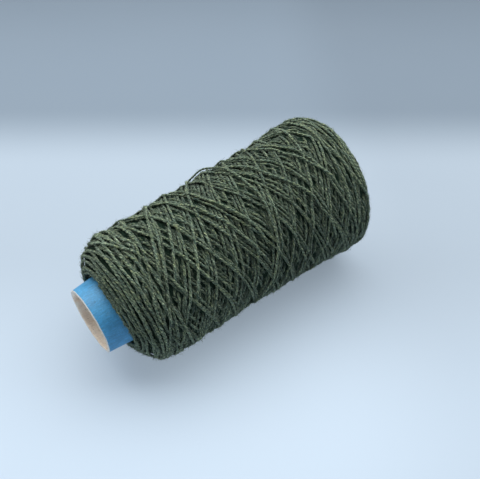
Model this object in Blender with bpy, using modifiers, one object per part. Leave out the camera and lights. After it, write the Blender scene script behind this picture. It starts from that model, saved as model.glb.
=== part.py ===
"""A small cone of polyamide yarn, lying on its flank: a thin paper cone, and the cross-wound yarn round it.

The package lies along X, with its nose at -X and its wide base at +X. Its flank rests on the plane z = 0.
Both pieces are made along their common axis, with zero where the yarn begins, and are laid down together.
"""

import math

import bmesh
import bpy
import numpy as np

MM = 0.001

# The paper cone.
CONE_LENGTH = 170.0 * MM
CONE_NOSE_RADIUS = 18.2 * MM
CONE_HALF_ANGLE = math.radians(5.95)
CONE_WALL = 1.8 * MM
CONE_RIM_BEVEL = 0.35 * MM
CONE_SEGMENTS = 64

# The yarn's plain form.
NOSE_SHOWING = 10.0 * MM
YARN_LENGTH = 156.0 * MM
YARN_NOSE_RADIUS = 35.6 * MM
YARN_BASE_RADIUS = 44.3 * MM
NOSE_SHOULDER_LENGTH = 16.0 * MM
BASE_SHOULDER_LENGTH = 4.0 * MM
BASE_SHOULDER_DEPTH = 6.0 * MM
LIP_THICKNESS = 1.2 * MM
BORE_GAP = 0.3 * MM
YARN_SEGMENTS = 64
NOSE_SHOULDER_STEPS = 11
FLANK_STEPS = 52
BASE_SHOULDER_STEPS = 4
BASE_FACE_STEPS = 4

# The winding: the yarn runs to and fro, and lies in bundles at about 20 degrees to the turns.
BUNDLES = 7
TURNS_EACH_WAY = 23.0 / 14.0
BUNDLE_HEIGHT = 0.8 * MM
BUNDLE_SHARPNESS = 1.5
BUNDLE_FADE = 11.0 * MM

# Two bundles cross in a knot at this angle from the top and at this place along the axis.
KNOT_ANGLE = math.radians(-43.0)
KNOT_PLACE = 17.0 * MM

# The winding's relief begins at this height above the paper cone, and is whole at the second one.
RELIEF_STARTS = 0.6 * MM
RELIEF_IS_WHOLE = 4.8 * MM

# The bundles wander by this share of their spacing: waves round the package, and the length of a wave along it.
WANDER = 0.10
WANDER_WAVES = ((3.0, 17.0 * MM, 0.0), (2.0, -23.0 * MM, 1.7))

# The last turns at the two ends lie nearly square to the axis.
END_TURN_HEIGHT = 0.4 * MM
END_TURN_SPACING = 4.6 * MM
END_TURN_SWAY = 0.25

# The flank is a little hollow in two places, and a little full at the base shoulder: place, height and spread.
FLANK_SWELLS = (
    (69.0 * MM, -1.2 * MM, 8.0 * MM),
    (108.0 * MM, -1.2 * MM, 16.0 * MM),
    (147.0 * MM, 0.5 * MM, 6.0 * MM),
)

# One slack turn stands proud over the upper side: degrees from the top, and place along the axis.
SLACK_TURN = (
    (-75.0, 60.0 * MM),
    (-45.0, 80.0 * MM),
    (-25.0, 87.5 * MM),
    (0.0, 89.5 * MM),
    (25.0, 90.5 * MM),
    (53.0, 87.1 * MM),
    (75.0, 82.5 * MM),
    (98.0, 74.7 * MM),
    (125.0, 64.0 * MM),
)
SLACK_HEIGHT = 1.2 * MM
SLACK_HALF_WIDTH = 1.7 * MM

# The flank is pressed flat to this depth where the package lies on the surface.
FLAT_DEPTH = 0.35 * MM
CUTTER_SIZE = (0.4, 0.3, 0.04)

YARN_COLOUR = (0.052, 0.072, 0.054)
BLUE_PAPER_COLOUR = (0.075, 0.235, 0.410)
KRAFT_COLOUR = (0.490, 0.340, 0.230)

FULL_TURN = 2.0 * math.pi
MERGE_DISTANCE = 0.01 * MM
SHARP_ANGLE = math.radians(40.0)
FLANK_ANGLE = math.atan2(YARN_BASE_RADIUS - YARN_NOSE_RADIUS, YARN_LENGTH)
WINDING_PITCH = YARN_LENGTH / TURNS_EACH_WAY


def clear_scene():
    for obj in list(bpy.data.objects):
        bpy.data.objects.remove(obj, do_unlink=True)


def make_collection(name):
    collection = bpy.data.collections.new(name)
    bpy.context.scene.collection.children.link(collection)
    return collection


def make_material(name, colour, roughness):
    material = bpy.data.materials.new(name)
    material.use_nodes = True
    shader = material.node_tree.nodes["Principled BSDF"]
    shader.inputs["Base Color"].default_value = (*colour, 1.0)
    shader.inputs["Roughness"].default_value = roughness
    material.diffuse_color = (*colour, 1.0)
    return material


def add_object(name, data, collection):
    obj = bpy.data.objects.new(name, data)
    collection.objects.link(obj)
    return obj


def bmesh_object(name, mesh, collection):
    data = bpy.data.meshes.new(name)
    mesh.to_mesh(data)
    mesh.free()
    return add_object(name, data, collection)


def cone_outer_radius(along):
    return CONE_NOSE_RADIUS + (along + NOSE_SHOWING) * math.tan(CONE_HALF_ANGLE)


def build_cone(collection):
    """The paper cone: an open cone with a wall on its inner side and softened rims."""
    far_end = CONE_LENGTH - NOSE_SHOWING
    mesh = bmesh.new()
    bmesh.ops.create_cone(
        mesh,
        cap_ends=False,
        segments=CONE_SEGMENTS,
        radius1=CONE_NOSE_RADIUS,
        radius2=cone_outer_radius(far_end),
        depth=CONE_LENGTH,
    )
    cone = bmesh_object("paper_cone", mesh, collection)
    cone.rotation_euler = (0.0, 0.5 * math.pi, 0.0)
    cone.location = (0.5 * CONE_LENGTH - NOSE_SHOWING, 0.0, 0.0)
    cone.data.materials.append(make_material("blue_paper", BLUE_PAPER_COLOUR, 0.5))
    cone.data.materials.append(make_material("kraft_board", KRAFT_COLOUR, 0.9))
    wall = cone.modifiers.new("wall", "SOLIDIFY")
    wall.thickness = CONE_WALL
    wall.offset = -1.0
    wall.use_even_offset = True
    wall.material_offset = 1
    wall.material_offset_rim = 1
    rims = cone.modifiers.new("rims", "BEVEL")
    rims.width = CONE_RIM_BEVEL
    rims.segments = 1
    rims.limit_method = "ANGLE"
    rims.angle_limit = SHARP_ANGLE
    cone.data.shade_smooth()
    cone.data.set_sharp_from_angle(angle=SHARP_ANGLE)
    return cone


def flank_radius(along):
    return YARN_NOSE_RADIUS + along * math.tan(FLANK_ANGLE)


def nose_shoulder():
    """Points (along, out) of the round nose end, from the paper cone up to the flank."""
    lip = cone_outer_radius(0.0) + BORE_GAP + LIP_THICKNESS
    depth = flank_radius(NOSE_SHOULDER_LENGTH) - lip
    turns = [0.5 * math.pi * step / NOSE_SHOULDER_STEPS for step in range(NOSE_SHOULDER_STEPS)]
    return [(NOSE_SHOULDER_LENGTH * (1.0 - math.cos(t)), lip + depth * math.sin(t)) for t in turns]


def flank():
    """Points of the straight flank, from the nose shoulder to the base shoulder."""
    start = NOSE_SHOULDER_LENGTH
    step = (YARN_LENGTH - BASE_SHOULDER_LENGTH - start) / FLANK_STEPS
    return [(start + i * step, flank_radius(start + i * step)) for i in range(FLANK_STEPS)]


def base_end():
    """Points of the base shoulder and of the flat base face, from the flank down to the paper cone."""
    centre_along = YARN_LENGTH - BASE_SHOULDER_LENGTH
    centre_out = flank_radius(centre_along) - BASE_SHOULDER_DEPTH
    points = []
    for step in range(BASE_SHOULDER_STEPS):
        turn = 0.5 * math.pi * step / BASE_SHOULDER_STEPS
        along = centre_along + BASE_SHOULDER_LENGTH * math.sin(turn)
        points.append((along, centre_out + BASE_SHOULDER_DEPTH * math.cos(turn)))
    bore = cone_outer_radius(YARN_LENGTH) + BORE_GAP
    for step in range(BASE_FACE_STEPS + 1):
        points.append((YARN_LENGTH, centre_out + (bore - centre_out) * step / BASE_FACE_STEPS))
    return points


def turned_yarn(collection):
    """The yarn's section, turned round the axis by a Screw modifier."""
    bore_at_nose = (0.0, cone_outer_radius(0.0) + BORE_GAP)
    section = nose_shoulder() + flank() + base_end() + [bore_at_nose]
    count = len(section)
    data = bpy.data.meshes.new("yarn_package")
    points = [(along, 0.0, out) for along, out in section]
    edges = [(i, (i + 1) % count) for i in range(count)]
    data.from_pydata(points, edges, [])
    yarn = add_object("yarn_package", data, collection)
    turn = yarn.modifiers.new("turn", "SCREW")
    turn.axis = "X"
    turn.angle = FULL_TURN
    turn.steps = YARN_SEGMENTS
    turn.render_steps = YARN_SEGMENTS
    turn.use_merge_vertices = True
    turn.merge_threshold = MERGE_DISTANCE
    turn.use_normal_flip = True
    return yarn


def use_evaluated_mesh(obj):
    """Gives an object the mesh that its modifiers make, in place of the modifiers."""
    graph = bpy.context.evaluated_depsgraph_get()
    data = bpy.data.meshes.new_from_object(obj.evaluated_get(graph))
    obj.modifiers.clear()
    obj.data = data


def wave(phase):
    """A smooth wave between 0 and 1, highest where the phase is a whole number."""
    return 0.5 + 0.5 * math.cos(FULL_TURN * phase)


def bell(distance, spread):
    return math.exp(-0.5 * (distance / spread) ** 2)


def bundle_relief(along, angle):
    """The height of the crossing bundles: one set runs towards the base as it turns, the other towards the nose.

    Where two of them cross, one lies on the other, so that their heights add up.
    """
    wander = WANDER * sum(
        math.sin(waves * angle + along / length + start) for waves, length, start in WANDER_WAVES
    )
    turn = (angle - KNOT_ANGLE) / FULL_TURN
    travel = (along - KNOT_PLACE) / WINDING_PITCH
    towards_base = wave(BUNDLES * (turn - travel) + wander)
    towards_nose = wave(BUNDLES * (turn + travel) - wander)
    return BUNDLE_HEIGHT * (towards_base**BUNDLE_SHARPNESS + towards_nose**BUNDLE_SHARPNESS)


def end_turn_relief(along, angle):
    return END_TURN_HEIGHT * wave(along / END_TURN_SPACING + END_TURN_SWAY * math.sin(angle))


def slack_turn_relief(along, angle):
    """The height of the slack turn, which passes over the upper side only."""
    angles = [math.radians(degrees) for degrees, _ in SLACK_TURN]
    if not angles[0] <= angle <= angles[-1]:
        return 0.0
    place = float(np.interp(angle, angles, [place for _, place in SLACK_TURN]))
    return SLACK_HEIGHT * bell(along - place, SLACK_HALF_WIDTH)


def relief(along, angle):
    """How far the yarn stands out from its plain form, at a place along it and an angle from the top."""
    from_end = min(along, YARN_LENGTH - along)
    share = min(1.0, max(0.0, from_end / BUNDLE_FADE))
    height = share * bundle_relief(along, angle) + (1.0 - share) * end_turn_relief(along, angle)
    height += sum(swell * bell(along - place, spread) for place, swell, spread in FLANK_SWELLS)
    return height + slack_turn_relief(along, angle)


def raise_winding(data):
    """Moves each outer point of the yarn along its normal, by the relief of the winding there."""
    mesh = bmesh.new()
    mesh.from_mesh(data)
    mesh.normal_update()
    moves = []
    for point in mesh.verts:
        along = point.co.x
        above_bore = math.hypot(point.co.y, point.co.z) - cone_outer_radius(along) - BORE_GAP
        if above_bore < RELIEF_STARTS:
            continue
        angle = math.atan2(-point.co.y, point.co.z)
        ease = min(1.0, above_bore / RELIEF_IS_WHOLE)
        moves.append((point, point.normal * relief(along, angle) * ease))
    for point, move in moves:
        point.co += move
    mesh.to_mesh(data)
    mesh.free()


def build_yarn(collection):
    yarn = turned_yarn(collection)
    use_evaluated_mesh(yarn)
    raise_winding(yarn.data)
    yarn.data.materials.append(make_material("grey_green_yarn", YARN_COLOUR, 0.95))
    yarn.data.shade_smooth()
    yarn.data.set_sharp_from_angle(angle=SHARP_ANGLE)
    return yarn


def press_flat(yarn, cutters):
    """Takes off what would be below the surface that the yarn lies on."""
    mesh = bmesh.new()
    bmesh.ops.create_cube(mesh, size=1.0)
    bmesh.ops.scale(mesh, vec=CUTTER_SIZE, verts=mesh.verts)
    slab = bmesh_object("surface_cutter", mesh, cutters)
    slab.location = (0.0, 0.0, -0.5 * CUTTER_SIZE[2])
    slab.hide_render = True
    slab.display_type = "WIRE"
    cut = yarn.modifiers.new("press_flat", "BOOLEAN")
    cut.operation = "DIFFERENCE"
    cut.solver = "EXACT"
    cut.object = slab


def add_package_axis(pieces, collection):
    """An empty on the package's axis where the yarn begins, which tilts and lifts the pieces into place."""
    axis = add_object("package_axis", None, collection)
    axis.rotation_euler = (0.0, -FLANK_ANGLE, 0.0)
    axis.location = (0.0, 0.0, YARN_NOSE_RADIUS * math.cos(FLANK_ANGLE) - FLAT_DEPTH)
    for piece in pieces:
        piece.parent = axis
    return axis


def centre_over_origin(axis, pieces):
    """Moves the axis along X and Y, so that the middle of the pieces' common box is over the origin."""
    bpy.context.view_layer.update()
    graph = bpy.context.evaluated_depsgraph_get()
    points = []
    for piece in pieces:
        evaluated = piece.evaluated_get(graph)
        points += [evaluated.matrix_world @ point.co for point in evaluated.data.vertices]
    for side in (0, 1):
        places = [point[side] for point in points]
        axis.location[side] -= 0.5 * (min(places) + max(places))


def build():
    clear_scene()
    parts = make_collection("polyamide_yarn")
    cutters = make_collection("cutters")
    pieces = [build_cone(parts), build_yarn(parts)]
    axis = add_package_axis(pieces, parts)
    centre_over_origin(axis, pieces)
    press_flat(pieces[1], cutters)


build()
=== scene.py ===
import math

import bpy
import numpy as np
from mathutils import Matrix, Vector


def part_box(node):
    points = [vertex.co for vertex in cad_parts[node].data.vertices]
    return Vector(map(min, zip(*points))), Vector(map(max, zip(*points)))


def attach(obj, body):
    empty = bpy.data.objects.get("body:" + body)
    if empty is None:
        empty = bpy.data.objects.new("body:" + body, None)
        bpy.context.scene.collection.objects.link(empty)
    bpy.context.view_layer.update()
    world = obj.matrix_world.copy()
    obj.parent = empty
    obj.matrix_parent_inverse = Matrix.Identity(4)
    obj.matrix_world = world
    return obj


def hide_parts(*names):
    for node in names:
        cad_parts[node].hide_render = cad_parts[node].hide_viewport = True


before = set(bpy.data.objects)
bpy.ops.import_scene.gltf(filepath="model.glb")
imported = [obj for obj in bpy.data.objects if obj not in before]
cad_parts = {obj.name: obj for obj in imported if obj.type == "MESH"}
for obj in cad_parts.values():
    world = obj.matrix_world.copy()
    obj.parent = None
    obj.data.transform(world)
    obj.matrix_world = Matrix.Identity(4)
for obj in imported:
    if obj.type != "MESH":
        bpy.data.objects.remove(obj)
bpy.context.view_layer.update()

MM = 0.001
FULL_TURN = 2.0 * math.pi

# The paper cone and the yarn's plain form, as in the part's own source.
CONE_LENGTH = 170.0 * MM
CONE_NOSE_RADIUS = 18.2 * MM
CONE_HALF_ANGLE = math.radians(5.95)
CONE_WALL = 1.8 * MM
CONE_RIM_BEVEL = 0.35 * MM
PRINTED_SHEET = 0.7 * MM
NOSE_SHOWING = 10.0 * MM
YARN_LENGTH = 156.0 * MM
YARN_NOSE_RADIUS = 35.6 * MM
YARN_BASE_RADIUS = 44.3 * MM
NOSE_SHOULDER_LENGTH = 16.0 * MM
BASE_SHOULDER_LENGTH = 4.0 * MM
BASE_SHOULDER_DEPTH = 6.0 * MM
LIP_THICKNESS = 1.2 * MM
BORE_GAP = 0.3 * MM
FIRST_TURN_OVER_BORE = 0.35 * MM
FLAT_DEPTH = 0.35 * MM

# Pushes of the soft yarn: (place, degrees from the top), (spread, spread in degrees), (along, out).
PUSHES = (
    ((0.0 * MM, 130.0), (9.0 * MM, 38.0), (3.2 * MM, 0.0 * MM)),
    ((25.0 * MM, 120.0), (8.0 * MM, 26.0), (0.0 * MM, 1.1 * MM)),
    ((156.0 * MM, 75.0), (14.0 * MM, 32.0), (-1.8 * MM, 0.0 * MM)),
    ((156.0 * MM, -8.0), (12.0 * MM, 24.0), (1.0 * MM, 0.5 * MM)),
    ((40.0 * MM, -43.0), (4.0 * MM, 20.0), (0.0 * MM, -1.0 * MM)),
    ((122.0 * MM, -43.0), (4.0 * MM, 20.0), (0.0 * MM, -0.9 * MM)),
)

# The winding's relief, as in the part's own source.
BUNDLES = 7
TURNS_EACH_WAY = 23.0 / 14.0
BUNDLE_HEIGHT = 0.8 * MM
BUNDLE_SHARPNESS = 1.5
BUNDLE_FADE = 11.0 * MM
KNOT_ANGLE = math.radians(-43.0)
KNOT_PLACE = 17.0 * MM
WANDER = 0.10
WANDER_WAVES = ((3.0, 17.0 * MM, 0.0), (2.0, -23.0 * MM, 1.7))
FLANK_SWELLS = (
    (69.0 * MM, -1.2 * MM, 8.0 * MM),
    (108.0 * MM, -1.2 * MM, 16.0 * MM),
    (147.0 * MM, 0.5 * MM, 6.0 * MM),
)

# The yarn itself: two plies twisted together.
YARN_WIDTH = 1.60 * MM
YARN_THICKNESS = 1.30 * MM
GROOVE_DEPTH = 0.42
YARN_FLATNESS = 0.86
PLY_TWIST_LENGTH = 5.6 * MM
RING_POINTS = 8
RINGS_IN_A_PIECE = 12000
SHORTEST_STRETCH = 8
UV_LENGTH = 10.0 * MM
BAKE_MARGIN = 0.02
BAKE_WIDTH = 0.96

# The winding's passes, and how they press on each other.
STRAND_PITCH = 1.46 * MM
TOP_BUNDLE_STRANDS = 4.2
CORNER_TURN = 0.07
PASS_SCATTER = 0.85 * MM
SLOW_DRIFT = 0.75 * MM
HEIGHT_DRIFT = 0.14 * MM
CROWN_OVER_SOLID = 0.25 * MM
DROP_UNDER_ONE = 0.62 * MM
DEEPEST_SHOWN = 4
# The next two only paint shade: the valleys between bundles and each strand's sides count as deeper, so
# the finish darkens them.
VALLEY_PAINTED_SHADE = 0.7
SIDE_PAINTED_SHADE = 0.9
UNDERBODY_DEPTH = 1.7 * MM
DROP_POWER = 0.8
PASSES_OVER_END_TURNS = 18
NOSE_END_TURNS = 15
NOSE_TURNS_ON_FLANK = 4.0 * MM
BASE_END_TURNS = 8
END_TURN_DRIFT = 0.9 * MM
NOSE_TURNS_START = 1.0 * MM
BASE_TURNS_START = 11.0 * MM
BASE_TURNS_END = 0.8 * MM
NOSE_CLEARANCE = 1.5 * MM
BASE_CLEARANCE = 1.0 * MM
WANDER_FADE = 20.0 * MM

# How far a pass turns back before the yarn's ends, in millimetres, and how far along that fades.
NOSE_SETBACK = (3.0, 16.0)
NOSE_SETBACK_FADE = 25.0 * MM
BASE_SETBACK = (-4.0, 13.0)
BASE_SETBACK_FADE = 22.0 * MM

# The longest and the shortest waves of each drift.
SLOW_DRIFT_WAVES = (400.0 * MM, 50.0 * MM)
HEIGHT_DRIFT_WAVES = (30.0 * MM, 8.0 * MM)
END_TURN_DRIFT_WAVES = (300.0 * MM, 30.0 * MM)
WAVE_SPREAD = (0.85, 1.15)

# The loose fibres on the yarn's surface.
FUZZ_PIECES = 2
FUZZ_FIBRES = 11500
FUZZ_LENGTH = 3.6 * MM
FUZZ_WIDTH = 0.11 * MM
FUZZ_THINNING = (1.0, 0.8, 0.15)
FUZZ_LEAN = 1.25
FUZZ_RISE = (0.1, 0.6)
FUZZ_ROOT = 0.40
FUZZ_BEND = 0.12
FUZZ_LOWEST = 0.1 * MM
FUZZ_SIDES = 3
FUZZ_RINGS = len(FUZZ_THINNING)
FUZZ_UV_LENGTH = 0.1
FUZZ_BAKE_MARGIN = 0.1
FUZZ_BAKE_WIDTH = 0.8
FUZZ_BAKE_STEP = 0.4

# The steps of the outline, of the turn round the package and of a strand, and the random draws' seed.
SHOULDER_POINTS = 60
GRID_STEP = 0.42 * MM
GRID_TURN = 540
WIDE = (-2, -1, 0, 1, 2)
PATH_STEP = 0.46 * MM
UNDERBODY_ROWS = 90
UNDERBODY_COLUMNS = 140
UNDERBODY_LOWEST = 0.3 * MM
FLOOR_SOFTNESS = 0.15 * MM
DEPTH_REACH = 3
DEPTH_SMOOTHING = 4
SEED = 11

# Strands that lie over the rest: (degrees from the top, place along the yarn) from end to end.
SLACK_TURN = (
    (-95.0, 66.0 * MM),
    (-75.0, 74.0 * MM),
    (-55.0, 81.0 * MM),
    (-40.0, 84.5 * MM),
    (-25.0, 87.5 * MM),
    (0.0, 89.5 * MM),
    (25.0, 90.5 * MM),
    (53.0, 87.1 * MM),
    (75.0, 82.5 * MM),
    (98.0, 74.7 * MM),
    (118.0, 66.0 * MM),
)
SLACK_RISE = 0.3 * MM
SLACK_LIFT = 0.4 * MM
SLACK_LIFT_AT = math.radians(-34.0)
SLACK_LIFT_SPREAD = math.radians(6.0)
OVER_REACH = 6
OVER_SMOOTHING = 14
OVER_RISE = 0.35 * YARN_THICKNESS
TUCK_DEPTH = 2.0 * MM
TUCK_LENGTH = 9.0 * MM
ODD_STRANDS = (
    ((-20.0, 92.0 * MM), (14.0, 103.5 * MM), (42.0, 117.0 * MM), (59.0, 120.0 * MM), (91.0, 127.5 * MM)),
    ((-20.0, 60.0 * MM), (6.0, 66.5 * MM), (29.0, 75.0 * MM), (42.0, 78.5 * MM), (60.0, 82.0 * MM)),
    ((-10.0, 52.0 * MM), (20.0, 63.5 * MM), (49.0, 72.0 * MM), (65.0, 76.0 * MM)),
    ((-35.0, 110.0 * MM), (-13.0, 115.5 * MM), (23.0, 127.0 * MM), (50.0, 137.0 * MM)),
    ((-40.0, 46.0 * MM), (2.0, 32.5 * MM), (40.0, 22.0 * MM)),
    ((-5.0, 45.5 * MM), (23.0, 36.0 * MM), (50.0, 27.0 * MM)),
    ((10.0, 53.0 * MM), (33.0, 45.0 * MM), (70.0, 33.0 * MM)),
    ((150.0, 40.0 * MM), (240.0, 70.0 * MM)),
    ((200.0, 120.0 * MM), (290.0, 88.0 * MM)),
)

# The cut of the cone's nose: (waves round it, their start, their share), their size, and their reach.
RAGGED_WAVES = ((3.0, 0.4, 1.0), (7.0, 2.0, 0.6), (17.0, 0.0, 0.4))
RAGGED_SIZE = 0.10 * MM
RAGGED_OUTWARD = 0.6
RAGGED_REACH = 1.2 * MM
CONE_COLUMNS = 144

# The camera, found from the photograph's outline.
LENS = 39.6
SENSOR = 36.0
NEAREST_SHOWN = 0.01
CAMERA_ELEVATION = math.radians(42.5)
CAMERA_HEADING = math.radians(39.61)
CAMERA_DISTANCE = 305.7 * MM
AIM_ALONG = 78.0 * MM
AIM_RIGHT = 8.47 * MM
AIM_UP = 0.35 * MM

# The yarn's finish: its flecks, from dark to pale, their tints, and the shades over them, of which the
# groove between the plies and the depth under other strands are painted shade.
FLECK_COLOURS = (
    (0.36, (0.017, 0.044, 0.036)),
    (0.47, (0.094, 0.145, 0.108)),
    (0.55, (0.187, 0.250, 0.175)),
    (0.66, (0.356, 0.412, 0.284)),
)
FLECKS_ALONG = 9.5
FLECKS_ROUND = 4.5
STREAKS_ALONG = 9.0
STREAKS_ROUND = 55.0
STREAKS_TWIST = 12.0
SECOND_PLY_PLACE = 5.3
TINT_PLACE = 31.0
TINTS = ((0.36, (0.93, 1.00, 1.08)), (0.64, (1.08, 1.05, 0.83)))
NOISE_RANGE = (0.3, 0.7)
STREAK_SHADES = (0.40, 1.60)
SLOW_SHADES = (0.70, 1.30)
# Painted shade in the groove between the two plies: where it darkens and how far.
GROOVE_RANGE = (0.35, 1.0)
GROOVE_PAINTED_SHADES = (1.0, 0.45)
# Painted shade: the deeper a strand lies, the further its colour goes towards this dark green.
DEEPEST_DARKENED = 3.8
DEEPEST_SHADE_SHARE = 0.62
DEPTH_SHADE_COLOUR = (0.007, 0.022, 0.015, 1.0)
# Painted shade: the yarn deep between the strands is near black.
DEEP_YARN_SHADE_COLOURS = ((0.35, (0.003, 0.011, 0.007)), (0.65, (0.016, 0.034, 0.023)))

# The paper's finishes, each from its darkest to its lightest.
BLUE_COLOURS = (
    (0.30, (0.044, 0.250, 0.490)),
    (0.52, (0.060, 0.305, 0.580)),
    (0.72, (0.090, 0.365, 0.660)),
)
BLUE_SPECKS = (0.42, 0.60, 0.74, 1.0)
CUT_COLOURS = (
    (0.30, (0.50, 0.44, 0.36)),
    (0.50, (0.74, 0.72, 0.68)),
    (0.75, (0.86, 0.86, 0.85)),
)
KRAFT_COLOURS = (
    (0.30, (0.88, 0.74, 0.61)),
    (0.50, (0.98, 0.88, 0.77)),
    (0.72, (1.00, 0.95, 0.87)),
)
KRAFT_SPECKS = (0.16, 0.10, 0.06, 1.0)

# The lights: name, whose directions they go by, place, aim, sizes in metres, watts and colour.
LIGHTS = (
    ("key", "camera", (0.45, 0.15, 1.0), (0.44, 0.15, 0.0), (2.6, 1.1), 34.0, (1.0, 0.99, 0.97)),
    ("front", "camera", (-0.9, 0.0, 0.14), (0.0, 0.0, 0.04), (0.9, 0.24), 0.2, (0.93, 0.97, 1.0)),
    ("nose_side", "row", (-0.95, -0.30, 0.35), (-0.08, 0.0, 0.03), (0.5, 0.5), 1.2, (1.0, 0.99, 0.97)),
)
WORLD_COLOUR = (0.86, 0.93, 1.0, 1.0)
WORLD_STRENGTH = 0.13

# The floor: its glow, which is painted light that lifts its shadows, and how its painted light and shade
# change between two distances from the point below the camera.
FLOOR_GLOW = 1.0
FLOOR_HALF_SIZE = 3.0
FLOOR_COLOURS = ((0.212, 0.259, 0.311, 1.0), (0.224, 0.270, 0.320, 1.0))
PLAIN = (1.0, 1.0, 1.0, 1.0)
FLOOR_PAINTED_LIGHT_AND_SHADE = (
    ("ahead", (110.0 * MM, 260.0 * MM), (1.30, 1.30, 1.30, 1.0), PLAIN),
    ("ahead", (355.0 * MM, 455.0 * MM), PLAIN, (0.535, 0.565, 0.595, 1.0)),
    ("ahead", (480.0 * MM, 900.0 * MM), PLAIN, (0.78, 0.78, 0.78, 1.0)),
    ("right", (35.0 * MM, 130.0 * MM), PLAIN, (0.90, 0.90, 0.90, 1.0)),
)

FLANK_ANGLE = math.atan2(YARN_BASE_RADIUS - YARN_NOSE_RADIUS, YARN_LENGTH)
WINDING_PITCH = YARN_LENGTH / TURNS_EACH_WAY
MEAN_RADIUS = 0.5 * (YARN_NOSE_RADIUS + YARN_BASE_RADIUS)
STRAND_TILT = math.atan2(WINDING_PITCH, FULL_TURN * MEAN_RADIUS)

rng = np.random.default_rng(SEED)


def cone_outer_radius(along):
    return CONE_NOSE_RADIUS + (along + NOSE_SHOWING) * math.tan(CONE_HALF_ANGLE)


def flank_radius(along):
    return YARN_NOSE_RADIUS + along * math.tan(FLANK_ANGLE)


# The package's own axes in the row frame, and where its yarn begins.
AXIS = np.array((math.cos(FLANK_ANGLE), 0.0, math.sin(FLANK_ANGLE)))
TOP_SIDE = np.array((-math.sin(FLANK_ANGLE), 0.0, math.cos(FLANK_ANGLE)))
NEAR_SIDE = np.array((0.0, -1.0, 0.0))
NOSE_REACH = NOSE_SHOWING * AXIS[0] + (CONE_NOSE_RADIUS - CONE_RIM_BEVEL) * AXIS[2]
YARN_START = np.array(
    (
        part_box("paper_cone")[0].x + NOSE_REACH,
        0.0,
        YARN_NOSE_RADIUS * math.cos(FLANK_ANGLE) - FLAT_DEPTH,
    )
)


def radial(angle):
    """The direction away from the axis at an angle from the top, which grows towards the near side."""
    angle = np.asarray(angle)[..., None]
    return np.cos(angle) * TOP_SIDE + np.sin(angle) * NEAR_SIDE


def bell(distance, spread):
    return np.exp(-0.5 * (distance / spread) ** 2)


def smooth_step(share):
    share = np.clip(share, 0.0, 1.0)
    return share * share * (3.0 - 2.0 * share)


def wave(phase):
    return 0.5 + 0.5 * np.cos(FULL_TURN * phase)


def wander(along, angle):
    return WANDER * sum(
        np.sin(waves * angle + along / length + start) for waves, length, start in WANDER_WAVES
    )


def relief(along, angle):
    """How far the bundles and the lumps stand out from the plain form."""
    turn = (angle - KNOT_ANGLE) / FULL_TURN
    travel = (along - KNOT_PLACE) / WINDING_PITCH
    towards_base = wave(BUNDLES * (turn - travel) + wander(along, angle))
    towards_nose = wave(BUNDLES * (turn + travel) - wander(along, angle))
    height = BUNDLE_HEIGHT * (towards_base**BUNDLE_SHARPNESS + towards_nose**BUNDLE_SHARPNESS)
    height *= np.clip(np.minimum(along, YARN_LENGTH - along) / BUNDLE_FADE, 0.0, 1.0)
    return height + sum(swell * bell(along - place, spread) for place, swell, spread in FLANK_SWELLS)


def slow_noise(distance, size, longest, shortest, waves=7):
    """A smooth random wave along a strand, of about this size."""
    total = np.zeros_like(distance)
    for length in np.geomspace(longest, shortest, waves):
        stretch = length * rng.uniform(*WAVE_SPREAD)
        total += np.sin(FULL_TURN * distance / stretch + rng.uniform(0.0, FULL_TURN))
    return total * size / math.sqrt(0.5 * waves)


def moving(values, reach, how):
    """The highest, the mean or the like over a short stretch around each value."""
    padded = np.pad(values, reach, mode="edge")
    return how(np.lib.stride_tricks.sliding_window_view(padded, 2 * reach + 1), axis=1)


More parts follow.
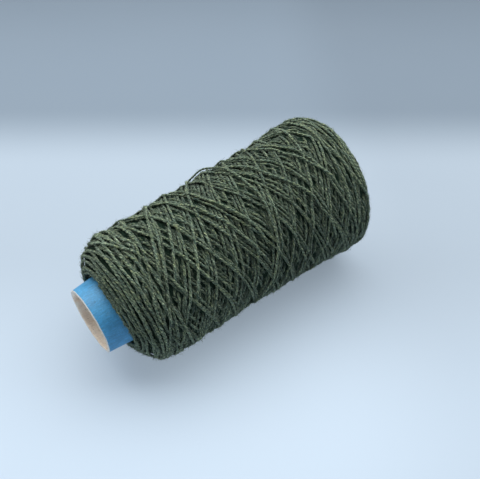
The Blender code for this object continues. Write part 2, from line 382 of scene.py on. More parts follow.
class Outline:
    """The yarn's plain outline, by the distance along it from the nose's bore to the base's bore."""

    def __init__(self):
        quarter = np.linspace(0.0, 0.5 * math.pi, SHOULDER_POINTS)
        bore = cone_outer_radius(0.0) + BORE_GAP
        lip = bore + LIP_THICKNESS
        nose_depth = flank_radius(NOSE_SHOULDER_LENGTH) - lip
        nose_along = NOSE_SHOULDER_LENGTH * (1.0 - np.cos(quarter))
        nose = np.stack((nose_along, lip + nose_depth * np.sin(quarter)), 1)
        flank_end = YARN_LENGTH - BASE_SHOULDER_LENGTH
        face_top = flank_radius(flank_end) - BASE_SHOULDER_DEPTH
        base_along = flank_end + BASE_SHOULDER_LENGTH * np.sin(quarter)
        base = np.stack((base_along, face_top + BASE_SHOULDER_DEPTH * np.cos(quarter)), 1)
        face_end = np.array([[YARN_LENGTH, cone_outer_radius(YARN_LENGTH) + BORE_GAP]])
        first_turn = np.array([[0.0, bore + FIRST_TURN_OVER_BORE]])
        points = np.concatenate((first_turn, nose, base, face_end))
        lengths = np.concatenate(([0.0], np.cumsum(np.linalg.norm(np.diff(points, axis=0), axis=1))))
        self.length = lengths[-1]
        self.shoulder = lengths[len(quarter)]
        self.at = np.linspace(0.0, self.length, int(self.length / GRID_STEP) + 1)
        self.along = np.interp(self.at, lengths, points[:, 0])
        self.out = np.interp(self.at, lengths, points[:, 1])
        run = np.gradient(self.along, self.at)
        rise = np.gradient(self.out, self.at)
        size = np.hypot(run, rise)
        self.normal_along = -rise / size
        self.normal_out = run / size

    def length_of(self, place):
        """The distance along the outline to a place along the flank."""
        return place + self.shoulder - NOSE_SHOULDER_LENGTH

    def along_at(self, length):
        return np.interp(length, self.at, self.along)

    def point(self, length, angle, height):
        """The point in the row frame this high over the outline."""
        normal_along = np.interp(length, self.at, self.normal_along)
        normal_out = np.interp(length, self.at, self.normal_out)
        along = self.along_at(length) + height * normal_along
        out = np.interp(length, self.at, self.out) + height * normal_out
        for (push_place, push_angle), (spread, spread_angle), (push_along, push_out) in PUSHES:
            turned = (angle - math.radians(push_angle) + math.pi) % FULL_TURN - math.pi
            share = bell(along - push_place, spread) * bell(turned, math.radians(spread_angle))
            along = along + share * push_along
            out = out + share * push_out
        return YARN_START + along[..., None] * AXIS + out[..., None] * radial(angle)

    def normal(self, length, angle):
        normal_along = np.interp(length, self.at, self.normal_along)[..., None]
        normal_out = np.interp(length, self.at, self.normal_out)[..., None]
        return normal_along * AXIS + normal_out * radial(angle)


def main_passes(outline):
    """The cross winding's passes in the order they were laid, each as lengths and angles."""
    double_traverse = 2.0 * TURNS_EACH_WAY
    cycle = BUNDLES * double_traverse
    strands_to_fill = WINDING_PITCH / BUNDLES * math.cos(STRAND_TILT) / STRAND_PITCH
    total = cycle * (strands_to_fill + TOP_BUNDLE_STRANDS)
    turns = np.arange(0.0, total, PATH_STEP * math.cos(STRAND_TILT) / (FULL_TURN * MEAN_RADIUS))
    phase = (0.5 * TOP_BUNDLE_STRANDS - (total - turns) / cycle) / strands_to_fill
    angle = KNOT_ANGLE + FULL_TURN * (turns + phase / BUNDLES)
    traverse = turns / TURNS_EACH_WAY
    leg = np.floor(traverse).astype(int)
    share = traverse - leg
    corner_distance = np.minimum(share, 1.0 - share) * TURNS_EACH_WAY
    rounded = 0.5 * (corner_distance**2 + CORNER_TURN**2) / CORNER_TURN
    corner_distance = np.where(corner_distance > CORNER_TURN, corner_distance, rounded)
    nearer_nose = (leg % 2 == 0) == (share < 0.5)
    place = np.where(nearer_nose, corner_distance, TURNS_EACH_WAY - corner_distance) * WINDING_PITCH
    corner = np.rint(traverse).astype(int)
    nose_turn = rng.uniform(*NOSE_SETBACK, corner.max() + 1) * MM
    base_turn = rng.uniform(*BASE_SETBACK, corner.max() + 1) * MM
    from_base = YARN_LENGTH - place
    place = place + nose_turn[corner] * smooth_step(1.0 - place / NOSE_SETBACK_FADE)
    place = place - base_turn[corner] * smooth_step(1.0 - from_base / BASE_SETBACK_FADE)
    fade = smooth_step(place / WANDER_FADE) * smooth_step(from_base / WANDER_FADE)
    place = place + fade * (KNOT_PLACE - WINDING_PITCH / BUNDLES)
    place = place + fade * wander(place, angle) * WINDING_PITCH / BUNDLES
    run = turns * FULL_TURN * MEAN_RADIUS
    pass_shift = rng.normal(0.0, PASS_SCATTER, leg.max() + 1)
    place = place + pass_shift[leg] + slow_noise(run, SLOW_DRIFT, *SLOW_DRIFT_WAVES)
    length = np.clip(outline.length_of(place), NOSE_CLEARANCE, outline.length - BASE_CLEARANCE)
    return [(length[leg == number], angle[leg == number]) for number in range(leg.max() + 1)]


def end_turns(first, last, turns):
    """Turns laid side by side round one end of the yarn, between two lengths of the outline."""
    mean_radius = 0.5 * (CONE_NOSE_RADIUS + YARN_BASE_RADIUS)
    turn = np.arange(0.0, turns, PATH_STEP / (FULL_TURN * YARN_BASE_RADIUS))
    length = first + (last - first) * turn / turns
    run = turn * FULL_TURN * mean_radius
    length = length + slow_noise(run, END_TURN_DRIFT, *END_TURN_DRIFT_WAVES)
    return length, FULL_TURN * turn


class Strands:
    """The stretches of yarn that can be seen: their lengths, angles and heights over the outline."""

    def __init__(self, outline):
        self.outline = outline
        self.stretches = []
        self.top = np.full((len(outline.at), GRID_TURN), -10.0 * MM)

    def cells(self, length, angle, sides):
        """The grid cells under a strand and to these sides of its middle."""
        last = len(self.outline.at) - 1
        row = np.rint(length / GRID_STEP).astype(int)
        column = np.rint(angle / FULL_TURN * GRID_TURN).astype(int) % GRID_TURN
        return [(np.clip(row + side, 0, last), column) for side in sides]

    def add(self, length, angle, height, depth, shown):
        """Adds a strand's centre line, and keeps the stretches where it shows."""
        for side, cell in zip(WIDE, self.cells(length, angle, WIDE)):
            crown = math.sqrt(max(0.0, 1.0 - (side * GRID_STEP / (0.5 * YARN_WIDTH)) ** 2))
            np.maximum.at(self.top, cell, height + 0.5 * YARN_THICKNESS * crown)
        shown = moving(shown, 2, np.max)
        edges = np.flatnonzero(np.diff(np.concatenate(([False], shown, [False])).astype(int)))
        for start, end in zip(edges[::2], edges[1::2]):
            if end - start > SHORTEST_STRETCH:
                keep = slice(start, end, 2)
                self.stretches.append((length[keep], angle[keep], height[keep], depth[keep]))

    def add_passes(self, passes):
        """Adds passes in the order they were laid: each goes down under the ones laid after it."""
        over = np.zeros(self.top.size, int)
        for length, angle in reversed(passes):
            under = [row * GRID_TURN + column for row, column in self.cells(length, angle, WIDE)]
            depth = np.max([over[cell] for cell in under], axis=0)
            shown = np.min([over[cell] for cell in under], axis=0) == 0
            for cell in under:
                over[np.unique(cell)] += 1
            depth = moving(moving(depth, DEPTH_REACH, np.max), DEPTH_SMOOTHING, np.mean)
            shown &= depth < DEEPEST_SHOWN
            lift = relief(self.outline.along_at(length), angle)
            height = lift + CROWN_OVER_SOLID - 0.5 * YARN_THICKNESS
            height = height - DROP_UNDER_ONE * depth**DROP_POWER
            # Painted shade: strands in the valleys between bundles count as deeper, so the finish
            # darkens them.
            depth = depth + VALLEY_PAINTED_SHADE * (1.0 - np.clip(lift / BUNDLE_HEIGHT, -0.5, 1.5))
            run = np.arange(len(length)) * PATH_STEP
            height += slow_noise(run, HEIGHT_DRIFT, *HEIGHT_DRIFT_WAVES)
            self.add(length, angle, height, depth, shown)

    def add_over(self, points, lift):
        """Adds a strand over the rest, lifted by so much at each angle, with both ends tucked in."""
        angles = np.radians([angle for angle, _ in points])
        places = [place for _, place in points]
        steps = int((angles[-1] - angles[0]) * YARN_BASE_RADIUS / PATH_STEP)
        angle = np.linspace(angles[0], angles[-1], steps)
        place = moving(np.interp(angle, angles, places), OVER_SMOOTHING, np.mean)
        length = self.outline.length_of(place)
        under = np.max([self.top[cell] for cell in self.cells(length, angle, (-1, 0, 1))], axis=0)
        height = moving(moving(under, OVER_REACH, np.max), OVER_REACH, np.mean) + OVER_RISE
        height = height + lift(angle)
        step = np.arange(steps)
        from_end = np.minimum(step, step[::-1]) * PATH_STEP
        height = height - TUCK_DEPTH * smooth_step(1.0 - from_end / TUCK_LENGTH)
        self.add(length, angle, height, np.zeros(steps), np.ones(steps, bool))


def rings_of(strands, outline):
    """For every ring: centre, sideways and outward directions, run, depth, and if the next joins it."""
    parts = []
    run_start = 0.0
    for length, angle, height, depth in strands.stretches:
        centre = outline.point(length, angle, height)
        lowest = 0.5 * YARN_THICKNESS
        over_lowest = (centre[:, 2] - lowest) / FLOOR_SOFTNESS
        centre[:, 2] = lowest + FLOOR_SOFTNESS * np.logaddexp(0.0, over_lowest)
        forward = np.gradient(centre, axis=0)
        step = np.linalg.norm(forward, axis=1)
        side = np.cross(forward, outline.normal(length, angle))
        side /= np.linalg.norm(side, axis=1)[:, None]
        up = np.cross(side, forward)
        up /= np.linalg.norm(up, axis=1)[:, None]
        run = run_start + np.cumsum(step)
        run_start = run[-1] + rng.uniform(0.0, PLY_TWIST_LENGTH)
        parts.append((centre, side, up, run, depth, np.arange(len(centre)) < len(centre) - 1))
    return [np.concatenate(values) for values in zip(*parts)]


def mesh_object(name, points, faces, uv, bake_uv, materials, face_materials=None):
    """A smooth mesh of quads with its own UV map and the one that its finish is baked on."""
    data = bpy.data.meshes.new(name)
    data.vertices.add(len(points))
    data.vertices.foreach_set("co", np.ascontiguousarray(points, np.float32).ravel())
    data.loops.add(faces.size)
    data.loops.foreach_set("vertex_index", np.ascontiguousarray(faces, np.int32).ravel())
    data.polygons.add(len(faces))
    data.polygons.foreach_set("loop_start", np.arange(0, faces.size, 4, dtype=np.int32))
    for material in materials:
        data.materials.append(material)
    if face_materials is not None:
        data.polygons.foreach_set("material_index", face_materials.astype(np.int32))
    data.update(calc_edges=True)
    for layer_name, values in (("UVMap", uv), ("OFBake", bake_uv)):
        layer = data.uv_layers.new(name=layer_name)
        layer.data.foreach_set("uv", np.ascontiguousarray(values, np.float32).ravel())
    data.uv_layers.active_index = 0
    data.shade_smooth()
    obj = bpy.data.objects.new(name, data)
    bpy.context.scene.collection.objects.link(obj)
    return obj


def strand_object(name, rings, material):
    """Tubes of two plies, one for each stretch in this group of rings."""
    centre, side, up, run, depth, joined = rings
    around = FULL_TURN * np.arange(RING_POINTS) / RING_POINTS
    radius = 0.5 * YARN_WIDTH * (1.0 - GROOVE_DEPTH * (1.0 - np.abs(np.cos(around))))
    turned = around[None, :] + FULL_TURN * run[:, None] / PLY_TWIST_LENGTH
    across = (radius * np.cos(turned))[..., None] * side[:, None, :]
    outward = (YARN_FLATNESS * radius * np.sin(turned))[..., None] * up[:, None, :]
    points = (centre[:, None, :] + across + outward).reshape(-1, 3)

    ring, spot = np.meshgrid(np.flatnonzero(joined), np.arange(RING_POINTS), indexing="ij")
    after = (spot + 1) % RING_POINTS
    this_ring = ring * RING_POINTS
    next_ring = this_ring + RING_POINTS
    faces = np.stack((this_ring + spot, this_ring + after, next_ring + after, next_ring + spot), -1)

    start = spot / RING_POINTS
    end = (spot + 1) / RING_POINTS
    near = run[ring] / UV_LENGTH
    far = run[ring + 1] / UV_LENGTH
    uv = np.stack((near, start, near, end, far, end, far, start), -1)

    rows = int(math.sqrt(len(joined) * RING_POINTS))
    columns = math.ceil(len(joined) / rows)
    left = (ring // rows + BAKE_MARGIN + BAKE_WIDTH * start) / columns
    right = (ring // rows + BAKE_MARGIN + BAKE_WIDTH * end) / columns
    bottom = (ring % rows) / rows
    top = (ring % rows + 1) / rows
    bake_uv = np.stack((left, bottom, right, bottom, right, top, left, top), -1)
    obj = mesh_object(name, points, faces.reshape(-1, 4), uv, bake_uv, [material])
    # Painted shade: each strand counts as deeper towards its sides, so the finish paints dark lines
    # between strands.
    shade_from_top = 1.0 - np.clip(np.sin(turned), 0.0, 1.0)
    store_depth(obj, (depth[:, None] + SIDE_PAINTED_SHADE * shade_from_top**2).ravel())
    return obj


def store_depth(obj, depth):
    """Keeps for each point how deep it lies, in strands over it, for the finish, which paints shade
    darker the deeper it lies.
    """
    attribute = obj.data.attributes.new("depth", "FLOAT", "POINT")
    attribute.data.foreach_set("value", np.ascontiguousarray(depth, np.float32))


def fuzz_object(name, rings, material):
    """Short loose fibres that stand off the strands, three-sided and thinner towards the tip."""
    centre, side, up, run, depth, _ = rings
    chosen = rng.choice(len(run), FUZZ_FIBRES, replace=False)
    lean = rng.uniform(-FUZZ_LEAN, FUZZ_LEAN, FUZZ_FIBRES)[:, None]
    outward = np.cos(lean) * up[chosen] + np.sin(lean) * side[chosen]
    along = np.cross(up[chosen], side[chosen]) * rng.choice((-1.0, 1.0), FUZZ_FIBRES)[:, None]
    reach = rng.uniform(0.5, 1.0, FUZZ_FIBRES)[:, None] ** 2 * FUZZ_LENGTH
    rise = rng.uniform(*FUZZ_RISE, FUZZ_FIBRES)[:, None] * reach
    root = centre[chosen] + FUZZ_ROOT * YARN_WIDTH * outward
    middle = root + 0.5 * reach * along + 0.7 * rise * outward
    tip = root + reach * along + rise * outward
    tip += rng.normal(0.0, FUZZ_BEND, (FUZZ_FIBRES, 3)) * reach
    lines = np.stack((root, middle, tip), 1)
    lines[..., 2] = np.maximum(lines[..., 2], FUZZ_LOWEST)
    corner = FULL_TURN * np.arange(FUZZ_SIDES) / FUZZ_SIDES
    sideways = np.cross(along, outward)
    upper = np.cos(corner)[:, None] * outward[:, None, :]
    across = upper + np.sin(corner)[:, None] * sideways[:, None, :]
    thickness = 0.5 * FUZZ_WIDTH * np.array(FUZZ_THINNING)
    points = lines[:, :, None, :] + thickness[:, None, None] * across[:, None, :, :]

    counts = (FUZZ_FIBRES, FUZZ_RINGS - 1, FUZZ_SIDES)
    fibre, step, spot = np.meshgrid(*(np.arange(count) for count in counts), indexing="ij")
    after = (spot + 1) % FUZZ_SIDES
    this_ring = (fibre * FUZZ_RINGS + step) * FUZZ_SIDES
    next_ring = this_ring + FUZZ_SIDES
    faces = np.stack((this_ring + spot, this_ring + after, next_ring + after, next_ring + spot), -1)
    rows = int(math.sqrt(FUZZ_FIBRES))
    columns = math.ceil(FUZZ_FIBRES / rows)
    left = (fibre % rows + FUZZ_BAKE_MARGIN + FUZZ_BAKE_WIDTH * spot / FUZZ_SIDES) / rows
    right = (fibre % rows + FUZZ_BAKE_MARGIN + FUZZ_BAKE_WIDTH * (spot + 1) / FUZZ_SIDES) / rows
    bottom = (fibre // rows + FUZZ_BAKE_MARGIN + FUZZ_BAKE_STEP * step) / columns
    top = (fibre // rows + FUZZ_BAKE_MARGIN + FUZZ_BAKE_STEP * (step + 1)) / columns
    bake_uv = np.stack((left, bottom, right, bottom, right, top, left, top), -1)
    start = run[chosen][fibre] / UV_LENGTH
    end = start + FUZZ_UV_LENGTH
    side_share = spot / FUZZ_SIDES
    uv = np.stack((start, side_share, start, side_share, end, side_share, end, side_share), -1)
    obj = mesh_object(name, points.reshape(-1, 3), faces.reshape(-1, 4), uv, bake_uv, [material])
    # Painted shade: each fibre is darkened as deeply as the strand it grows from.
    store_depth(obj, np.repeat(depth[chosen], FUZZ_RINGS * FUZZ_SIDES))
    return obj


def grid_object(name, points, closed_rows, materials, row_materials=None):
    """A grid of points as a mesh, closed round each row, and from the last row to the first if asked."""
    rows, columns = points.shape[:2]
    spans = rows if closed_rows else rows - 1
    row, column = np.meshgrid(np.arange(spans), np.arange(columns), indexing="ij")
    next_row = (row + 1) % rows
    next_column = (column + 1) % columns
    faces = np.stack(
        (
            row * columns + column,
            row * columns + next_column,
            next_row * columns + next_column,
            next_row * columns + column,
        ),
        -1,
    ).reshape(-1, 4)
    left = column / columns
    right = (column + 1) / columns
    bottom = row / spans
    top = (row + 1) / spans
    uv = np.stack((left, bottom, right, bottom, right, top, left, top), -1)
    face_materials = None if row_materials is None else np.repeat(row_materials, columns)
    return mesh_object(name, points.reshape(-1, 3), faces, uv, uv, materials, face_materials)


class Finish:
    """A procedural material, with short calls that add its nodes."""

    def __init__(self, name, roughness):
        self.material = bpy.data.materials.new(name)
        self.material.use_nodes = True
        self.tree = self.material.node_tree
        self.shader = self.tree.nodes["Principled BSDF"]
        self.shader.inputs["Roughness"].default_value = roughness

    def put(self, socket, value):
        if isinstance(value, bpy.types.NodeSocket):
            self.tree.links.new(value, socket)
        else:
            socket.default_value = value

    def add(self, kind, inputs=None, **settings):
        node = self.tree.nodes.new(kind)
        for name, value in settings.items():
            setattr(node, name, value)
        for key, value in (inputs or {}).items():
            self.put(node.inputs[key], value)
        return node

    def math(self, operation, first, second=0.0, third=0.0):
        node = self.add("ShaderNodeMath", {0: first, 1: second, 2: third}, operation=operation)
        return node.outputs[0]

    def vector(self, x, y, z=0.0):
        return self.add("ShaderNodeCombineXYZ", {0: x, 1: y, 2: z}).outputs[0]

    def object_place(self, scale=(1.0, 1.0, 1.0)):
        place = self.add("ShaderNodeTexCoord").outputs["Object"]
        return self.add("ShaderNodeMapping", {"Vector": place, "Scale": scale}).outputs[0]

    def noise(self, vector, scale, detail=2.0, roughness=0.5):
        inputs = {"Vector": vector, "Scale": scale, "Detail": detail, "Roughness": roughness}
        return self.add("ShaderNodeTexNoise", inputs).outputs[0]

    def ramp(self, factor, stops):
        node = self.add("ShaderNodeValToRGB", {"Fac": factor})
        elements = node.color_ramp.elements
        while len(elements) < len(stops):
            elements.new(0.5)
        for element, (position, colour) in zip(elements, stops):
            element.position = position
            element.color = (*colour, 1.0)
        return node.outputs[0]

    def span(self, factor, low, high, to_low, to_high):
        """Takes one range of values to another, clamped."""
        inputs = {"Value": factor, "From Min": low, "From Max": high}
        inputs.update({"To Min": to_low, "To Max": to_high})
        return self.add("ShaderNodeMapRange", inputs).outputs[0]

    def mix(self, factor, first, second, way="MIX"):
        node = self.add("ShaderNodeMix", data_type="RGBA", blend_type=way)
        self.put(node.inputs[0], factor)
        self.put(node.inputs[6], first)
        self.put(node.inputs[7], second)
        return node.outputs[2]

    def scaled(self, colour, value):
        """A colour made lighter or darker by a value."""
        grey = self.add("ShaderNodeCombineColor", {0: value, 1: value, 2: value}).outputs[0]
        return self.mix(1.0, colour, grey, "MULTIPLY")

    def bump(self, height, distance):
        inputs = {"Height": height, "Distance": distance, "Strength": 1.0}
        self.put(self.shader.inputs["Normal"], self.add("ShaderNodeBump", inputs).outputs[0])

    def colour(self, value):
        self.put(self.shader.inputs["Base Color"], value)


def yarn_finish():
    """Heather yarn: two plies of mixed dark, olive and pale fibres, with painted shade in the groove
    between the plies and where it lies deep.
    """
    finish = Finish("grey_green_yarn", 0.9)
    finish.shader.inputs["Specular IOR Level"].default_value = 0.2
    finish.shader.inputs["Sheen Weight"].default_value = 0.2
    finish.shader.inputs["Sheen Roughness"].default_value = 0.5
    uv = finish.add("ShaderNodeUVMap", uv_map="UVMap").outputs[0]
    parts = finish.add("ShaderNodeSeparateXYZ", {0: uv})
    run, around = parts.outputs[0], parts.outputs[1]
    ply = finish.math("COSINE", finish.math("MULTIPLY", around, FULL_TURN))
    groove = finish.math("SUBTRACT", 1.0, finish.math("ABSOLUTE", ply))
    second_ply = finish.span(ply, -0.1, 0.1, SECOND_PLY_PLACE, 0.0)

    fleck_along = finish.math("MULTIPLY", run, FLECKS_ALONG)
    fleck_round = finish.math("MULTIPLY", around, FLECKS_ROUND)
    fleck_place = finish.vector(fleck_along, fleck_round, second_ply)
    fleck = finish.noise(fleck_place, scale=1.0, detail=2.0, roughness=0.6)
    colour = finish.ramp(fleck, FLECK_COLOURS)
    twist = finish.math("MULTIPLY", run, STREAKS_TWIST)
    streak_round = finish.math("MULTIPLY_ADD", around, STREAKS_ROUND, twist)
    streak_along = finish.math("MULTIPLY", run, STREAKS_ALONG)
    streak_place = finish.vector(streak_along, streak_round, second_ply)
    streak = finish.noise(streak_place, scale=1.0, detail=2.0, roughness=0.6)
    colour = finish.scaled(colour, finish.span(streak, *NOISE_RANGE, *STREAK_SHADES))
    slow = finish.noise(finish.vector(run, second_ply), scale=0.22, detail=1.0)
    colour = finish.scaled(colour, finish.span(slow, *NOISE_RANGE, *SLOW_SHADES))
    tint_place = finish.vector(run, finish.math("ADD", second_ply, TINT_PLACE))
    tint = finish.ramp(finish.noise(tint_place, scale=1.1, detail=2.0), TINTS)
    colour = finish.mix(1.0, colour, tint, "MULTIPLY")
    # Painted shade: the colour goes towards a dark green the deeper the strand lies, on its sides and in
    # the valleys.
    depth = finish.add("ShaderNodeAttribute", attribute_name="depth").outputs["Fac"]
    shade_share = finish.span(depth, 0.0, DEEPEST_DARKENED, 0.0, DEEPEST_SHADE_SHARE)
    colour = finish.mix(shade_share, colour, DEPTH_SHADE_COLOUR)
    # Painted shade: darker in the groove between the two plies.
    finish.colour(finish.scaled(colour, finish.span(groove, *GROOVE_RANGE, *GROOVE_PAINTED_SHADES)))
    finish.bump(finish.math("MULTIPLY_ADD", streak, 0.6, fleck), 0.15 * MM)
    return finish.material


def deep_yarn_shade_finish():
    """The yarn deep between the strands: painted dark as shade, with fibre streaks round the package."""
    finish = Finish("deep_yarn", 0.95)
    finish.shader.inputs["Specular IOR Level"].default_value = 0.1
    place = finish.object_place((900.0, 260.0, 260.0))
    streak = finish.noise(place, scale=1.0, detail=3.0, roughness=0.6)
    finish.colour(finish.ramp(streak, DEEP_YARN_SHADE_COLOURS))
    finish.bump(streak, 0.5 * MM)
    return finish.material


def blue_paper_finish():
    """Printed blue paper: mottled, creased a little along the cone, with pale specks."""
    finish = Finish("blue_paper", 0.42)
    cloud = finish.noise(finish.object_place(), scale=120.0, detail=3.0, roughness=0.6)
    crease_place = finish.object_place((0.10, 1.0, 1.0))
    crease = finish.noise(crease_place, scale=1500.0, detail=2.0, roughness=0.55)
    grain = finish.noise(finish.object_place(), scale=2600.0, detail=2.0, roughness=0.6)
    mottle = finish.noise(finish.object_place(), scale=1400.0, detail=3.0, roughness=0.7)
    colour = finish.ramp(cloud, BLUE_COLOURS)
    colour = finish.scaled(colour, finish.span(mottle, *NOISE_RANGE, to_low=0.80, to_high=1.18))
    colour = finish.scaled(colour, finish.span(crease, 0.35, 0.70, to_low=0.88, to_high=1.18))
    speck = finish.span(grain, 0.68, 0.74, to_low=0.0, to_high=0.55)
    finish.colour(finish.mix(speck, colour, BLUE_SPECKS))
    gloss = finish.span(cloud, *NOISE_RANGE, to_low=0.45, to_high=0.62)
    finish.put(finish.shader.inputs["Roughness"], gloss)
    finish.bump(finish.math("MULTIPLY_ADD", grain, 0.3, crease), 0.12 * MM)
    return finish.material


def cut_paper_finish():
    """The pale cut edge of the cone."""
    finish = Finish("cut_paper", 0.85)
    fibre = finish.noise(finish.object_place(), scale=3000.0, detail=3.0, roughness=0.7)
    finish.colour(finish.ramp(fibre, CUT_COLOURS))
    finish.bump(fibre, 0.15 * MM)
    return finish.material


def kraft_finish():
    """Bare brown paper board inside the cone, with dark specks and long soft fibres."""
    finish = Finish("kraft_board", 0.85)
    cloud = finish.noise(finish.object_place(), scale=160.0, detail=3.0, roughness=0.6)
    fibre_place = finish.object_place((0.25, 1.0, 1.0))
    fibre = finish.noise(fibre_place, scale=1900.0, detail=3.0, roughness=0.65)
    grain = finish.noise(finish.object_place(), scale=1100.0, detail=1.0, roughness=0.5)
    colour = finish.ramp(cloud, KRAFT_COLOURS)
    colour = finish.scaled(colour, finish.span(fibre, *NOISE_RANGE, to_low=0.86, to_high=1.12))
    speck = finish.span(grain, 0.70, 0.76, to_low=0.0, to_high=0.7)
    finish.colour(finish.mix(speck, colour, KRAFT_SPECKS))
    finish.bump(fibre, 0.2 * MM)
    return finish.material


def floor_finish(start_place, directions):
    """A pale sheet that glows a little as painted light, with painted light near the camera and painted
    shade, a darker grey-blue, far behind and to the right.
    """
    finish = Finish("pale_floor", 0.6)
    finish.shader.inputs["Specular IOR Level"].default_value = 0.25
    finish.shader.inputs["Emission Strength"].default_value = FLOOR_GLOW
    inputs = {0: finish.add("ShaderNodeTexCoord").outputs["Object"], 1: start_place}
    offset = finish.add("ShaderNodeVectorMath", inputs, operation="SUBTRACT").outputs[0]
    cloud = finish.noise(finish.object_place(), scale=6.0, detail=2.0, roughness=0.5)
    colour = finish.mix(cloud, *FLOOR_COLOURS)
    # Painted light near the camera, painted shade far behind and to the right.
    for way, (first, last), first_shade, last_shade in FLOOR_PAINTED_LIGHT_AND_SHADE:
        inputs = {0: offset, 1: directions[way]}
        distance = finish.add("ShaderNodeVectorMath", inputs, operation="DOT_PRODUCT")
        inputs = {"Value": distance.outputs["Value"], "From Min": first, "From Max": last}
        share = finish.add("ShaderNodeMapRange", inputs, interpolation_type="SMOOTHSTEP").outputs[0]
        colour = finish.mix(1.0, colour, finish.mix(share, first_shade, last_shade), "MULTIPLY")
    finish.colour(colour)
    finish.put(finish.shader.inputs["Emission Color"], colour)
    return finish.material


def build_underbody(outline):
    """The yarn that shows deep between the strands, painted dark as shade."""
    rows = np.linspace(0.0, outline.length, UNDERBODY_ROWS)
    columns = np.linspace(0.0, FULL_TURN, UNDERBODY_COLUMNS, endpoint=False)
    length, angle = np.meshgrid(rows, columns, indexing="ij")
    height = relief(outline.along_at(length), angle) - UNDERBODY_DEPTH
    points = outline.point(length, angle, height)
    points[..., 2] = np.maximum(points[..., 2], UNDERBODY_LOWEST)
    return grid_object("yarn_underbody", points, False, [deep_yarn_shade_finish()])


def slack_lift(angle):
    """How much higher the slack turn lies than the other odd strands."""
    return SLACK_RISE + SLACK_LIFT * bell(angle - SLACK_LIFT_AT, SLACK_LIFT_SPREAD)


def build_yarn(outline):
    """The strands that show and the yarn under them, painted dark as shade."""
    strands = Strands(outline)
    passes = main_passes(outline)
    nose_turns = end_turns(NOSE_TURNS_START, outline.shoulder + NOSE_TURNS_ON_FLANK, NOSE_END_TURNS)
    base_start = outline.length - BASE_TURNS_START
    base_end = outline.length - BASE_TURNS_END
    base_turns = end_turns(base_start, base_end, BASE_END_TURNS)
    below = len(passes) - PASSES_OVER_END_TURNS
    strands.add_passes(passes[:below] + [nose_turns, base_turns] + passes[below:])
    for points in ODD_STRANDS:
        strands.add_over(points, np.zeros_like)
    strands.add_over(SLACK_TURN, slack_lift)
    rings = rings_of(strands, outline)
    finish = yarn_finish()
    pieces = [build_underbody(outline)]
    for start in range(0, len(rings[0]), RINGS_IN_A_PIECE):
        group = [values[start : start + RINGS_IN_A_PIECE].copy() for values in rings]
        group[-1][-1] = False
        pieces.append(strand_object(f"yarn_strands_{len(pieces)}", group, finish))
    for number in range(FUZZ_PIECES):
        pieces.append(fuzz_object(f"yarn_fuzz_{number + 1}", rings, finish))
    for piece in pieces:
        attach(piece, "root")
        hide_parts("yarn_package")


def build_cone():
    """The paper cone: blue outside, pale cut rims, bare board inside."""
    nose = -NOSE_SHOWING
    base = CONE_LENGTH - NOSE_SHOWING
    bevel = CONE_RIM_BEVEL
    outer_along = np.concatenate(
        (np.linspace(nose + bevel, 3.0 * MM, 14), np.linspace(12.0 * MM, base - bevel, 40))
    )
    outer = [(along, cone_outer_radius(along)) for along in outer_along]
    base_rim = [
        (base - 0.3 * bevel, cone_outer_radius(base) - 0.3 * bevel),
        (base, cone_outer_radius(base) - bevel),
        (base, cone_outer_radius(base) - 0.5 * CONE_WALL),
        (base, cone_outer_radius(base) - CONE_WALL + bevel),
        (base - bevel, cone_outer_radius(base) - CONE_WALL),
    ]
    inner_along = np.concatenate(
        (np.linspace(base - 3.0 * MM, 12.0 * MM, 30), np.linspace(5.0 * MM, nose + bevel, 14))
    )
    inner = [(along, cone_outer_radius(along) - CONE_WALL) for along in inner_along]
    nose_rim = [
        (nose, cone_outer_radius(nose) - CONE_WALL + bevel),
        (nose, cone_outer_radius(nose) - PRINTED_SHEET),
        (nose, cone_outer_radius(nose) - bevel),
        (nose + 0.3 * bevel, cone_outer_radius(nose) - 0.3 * bevel),
    ]
    profile = np.array(outer + base_rim + inner + nose_rim)
    angle = np.linspace(0.0, FULL_TURN, CONE_COLUMNS, endpoint=False)[None, :]
    along = profile[:, :1] + 0.0 * angle
    out = profile[:, 1:] + 0.0 * angle
    ragged = RAGGED_SIZE * sum(
        share * np.sin(waves * angle + start) for waves, start, share in RAGGED_WAVES
    )
    at_nose = bell(along - nose, RAGGED_REACH)
    out = out + RAGGED_OUTWARD * ragged * at_nose
    along = np.maximum(along + np.abs(ragged) * at_nose, nose)
    points = YARN_START + along[..., None] * AXIS + out[..., None] * radial(angle)
    blue = np.zeros(len(outer) - 1)
    base_edge = np.ones(len(base_rim))
    board = np.full(len(inner) + 1, 2)
    nose_edge = np.ones(len(nose_rim))
    row_materials = np.concatenate((blue, base_edge, board, nose_edge))
    finishes = [blue_paper_finish(), cut_paper_finish(), kraft_finish()]
    cone = grid_object("paper_tube", points, True, finishes, row_materials)
    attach(cone, "root")
    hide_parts("paper_cone")


def camera_directions():
    forward = Vector(
        (
            math.cos(CAMERA_ELEVATION) * math.sin(CAMERA_HEADING),
            math.cos(CAMERA_ELEVATION) * math.cos(CAMERA_HEADING),
            -math.sin(CAMERA_ELEVATION),
        )
    )
    right = Vector((math.cos(CAMERA_HEADING), -math.sin(CAMERA_HEADING), 0.0))
    return forward, right, right.cross(forward)


def build_camera():
    forward, right, up = camera_directions()
    aim = Vector(YARN_START + AIM_ALONG * AXIS) + AIM_RIGHT * right + AIM_UP * up
    data = bpy.data.cameras.new("camera")
    data.lens = LENS
    data.sensor_width = SENSOR
    data.clip_start = NEAREST_SHOWN
    camera = bpy.data.objects.new("camera", data)
    bpy.context.scene.collection.objects.link(camera)
    turned = Matrix((right, up, -forward)).transposed().to_4x4()
    camera.matrix_world = Matrix.Translation(aim - CAMERA_DISTANCE * forward) @ turned
    bpy.context.scene.camera = camera
    return camera


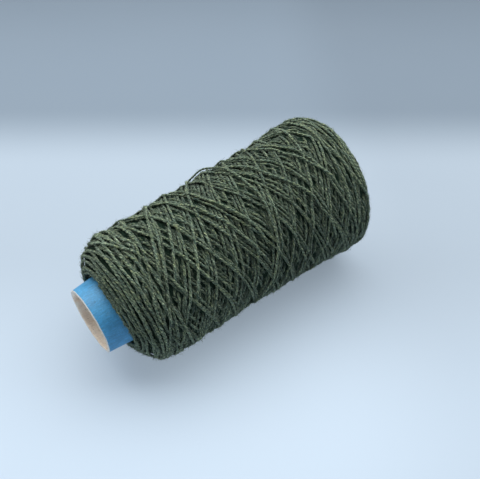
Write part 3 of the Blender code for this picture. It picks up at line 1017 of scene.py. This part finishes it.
def build_floor(camera):
    """A wide floor, whose colour darkens with painted shade where the photograph's backdrop begins."""
    forward, right, _ = camera_directions()
    heading = Vector((forward.x, forward.y, 0.0)).normalized()
    below_camera = Vector((camera.location.x, camera.location.y, 0.0))
    size = FLOOR_HALF_SIZE
    points = [(-size, -size, 0.0), (size, -size, 0.0), (size, size, 0.0), (-size, size, 0.0)]
    data = bpy.data.meshes.new("floor")
    data.from_pydata(points, [], [(0, 1, 2, 3)])
    data.materials.append(floor_finish(below_camera, {"ahead": heading, "right": right}))
    floor = bpy.data.objects.new("floor", data)
    bpy.context.scene.collection.objects.link(floor)


def add_area_light(name, place, aim, sizes, watts, colour):
    """A rectangular soft light, whose first size runs level, across its aim."""
    data = bpy.data.lights.new(name, "AREA")
    data.shape = "RECTANGLE"
    data.size, data.size_y = sizes
    data.energy = watts
    data.color = colour
    light = bpy.data.objects.new(name, data)
    bpy.context.scene.collection.objects.link(light)
    light.location = place
    light.rotation_euler = (aim - place).to_track_quat("-Z", "Y").to_euler()


def place_by(directions, distances):
    """The place this far along each of three directions."""
    return sum((far * way for way, far in zip(directions, distances)), Vector())


def build_light():
    scene = bpy.context.scene
    scene.view_settings.view_transform = "Standard"
    world = bpy.data.worlds.new("studio")
    world.use_nodes = True
    background = world.node_tree.nodes["Background"]
    background.inputs["Color"].default_value = WORLD_COLOUR
    background.inputs["Strength"].default_value = WORLD_STRENGTH
    scene.world = world
    forward, right, _ = camera_directions()
    behind = Vector((forward.x, forward.y, 0.0)).normalized()
    upward = Vector((0.0, 0.0, 1.0))
    ways = {
        "camera": (behind, right, upward),
        "row": (Vector((1.0, 0.0, 0.0)), Vector((0.0, 1.0, 0.0)), upward),
    }
    for name, way, place, aim, sizes, watts, colour in LIGHTS:
        directions = ways[way]
        place = place_by(directions, place)
        aim = place_by(directions, aim)
        add_area_light(name, place, aim, sizes, watts, colour)


outline = Outline()
camera = build_camera()
build_floor(camera)
build_light()
build_yarn(outline)
build_cone()
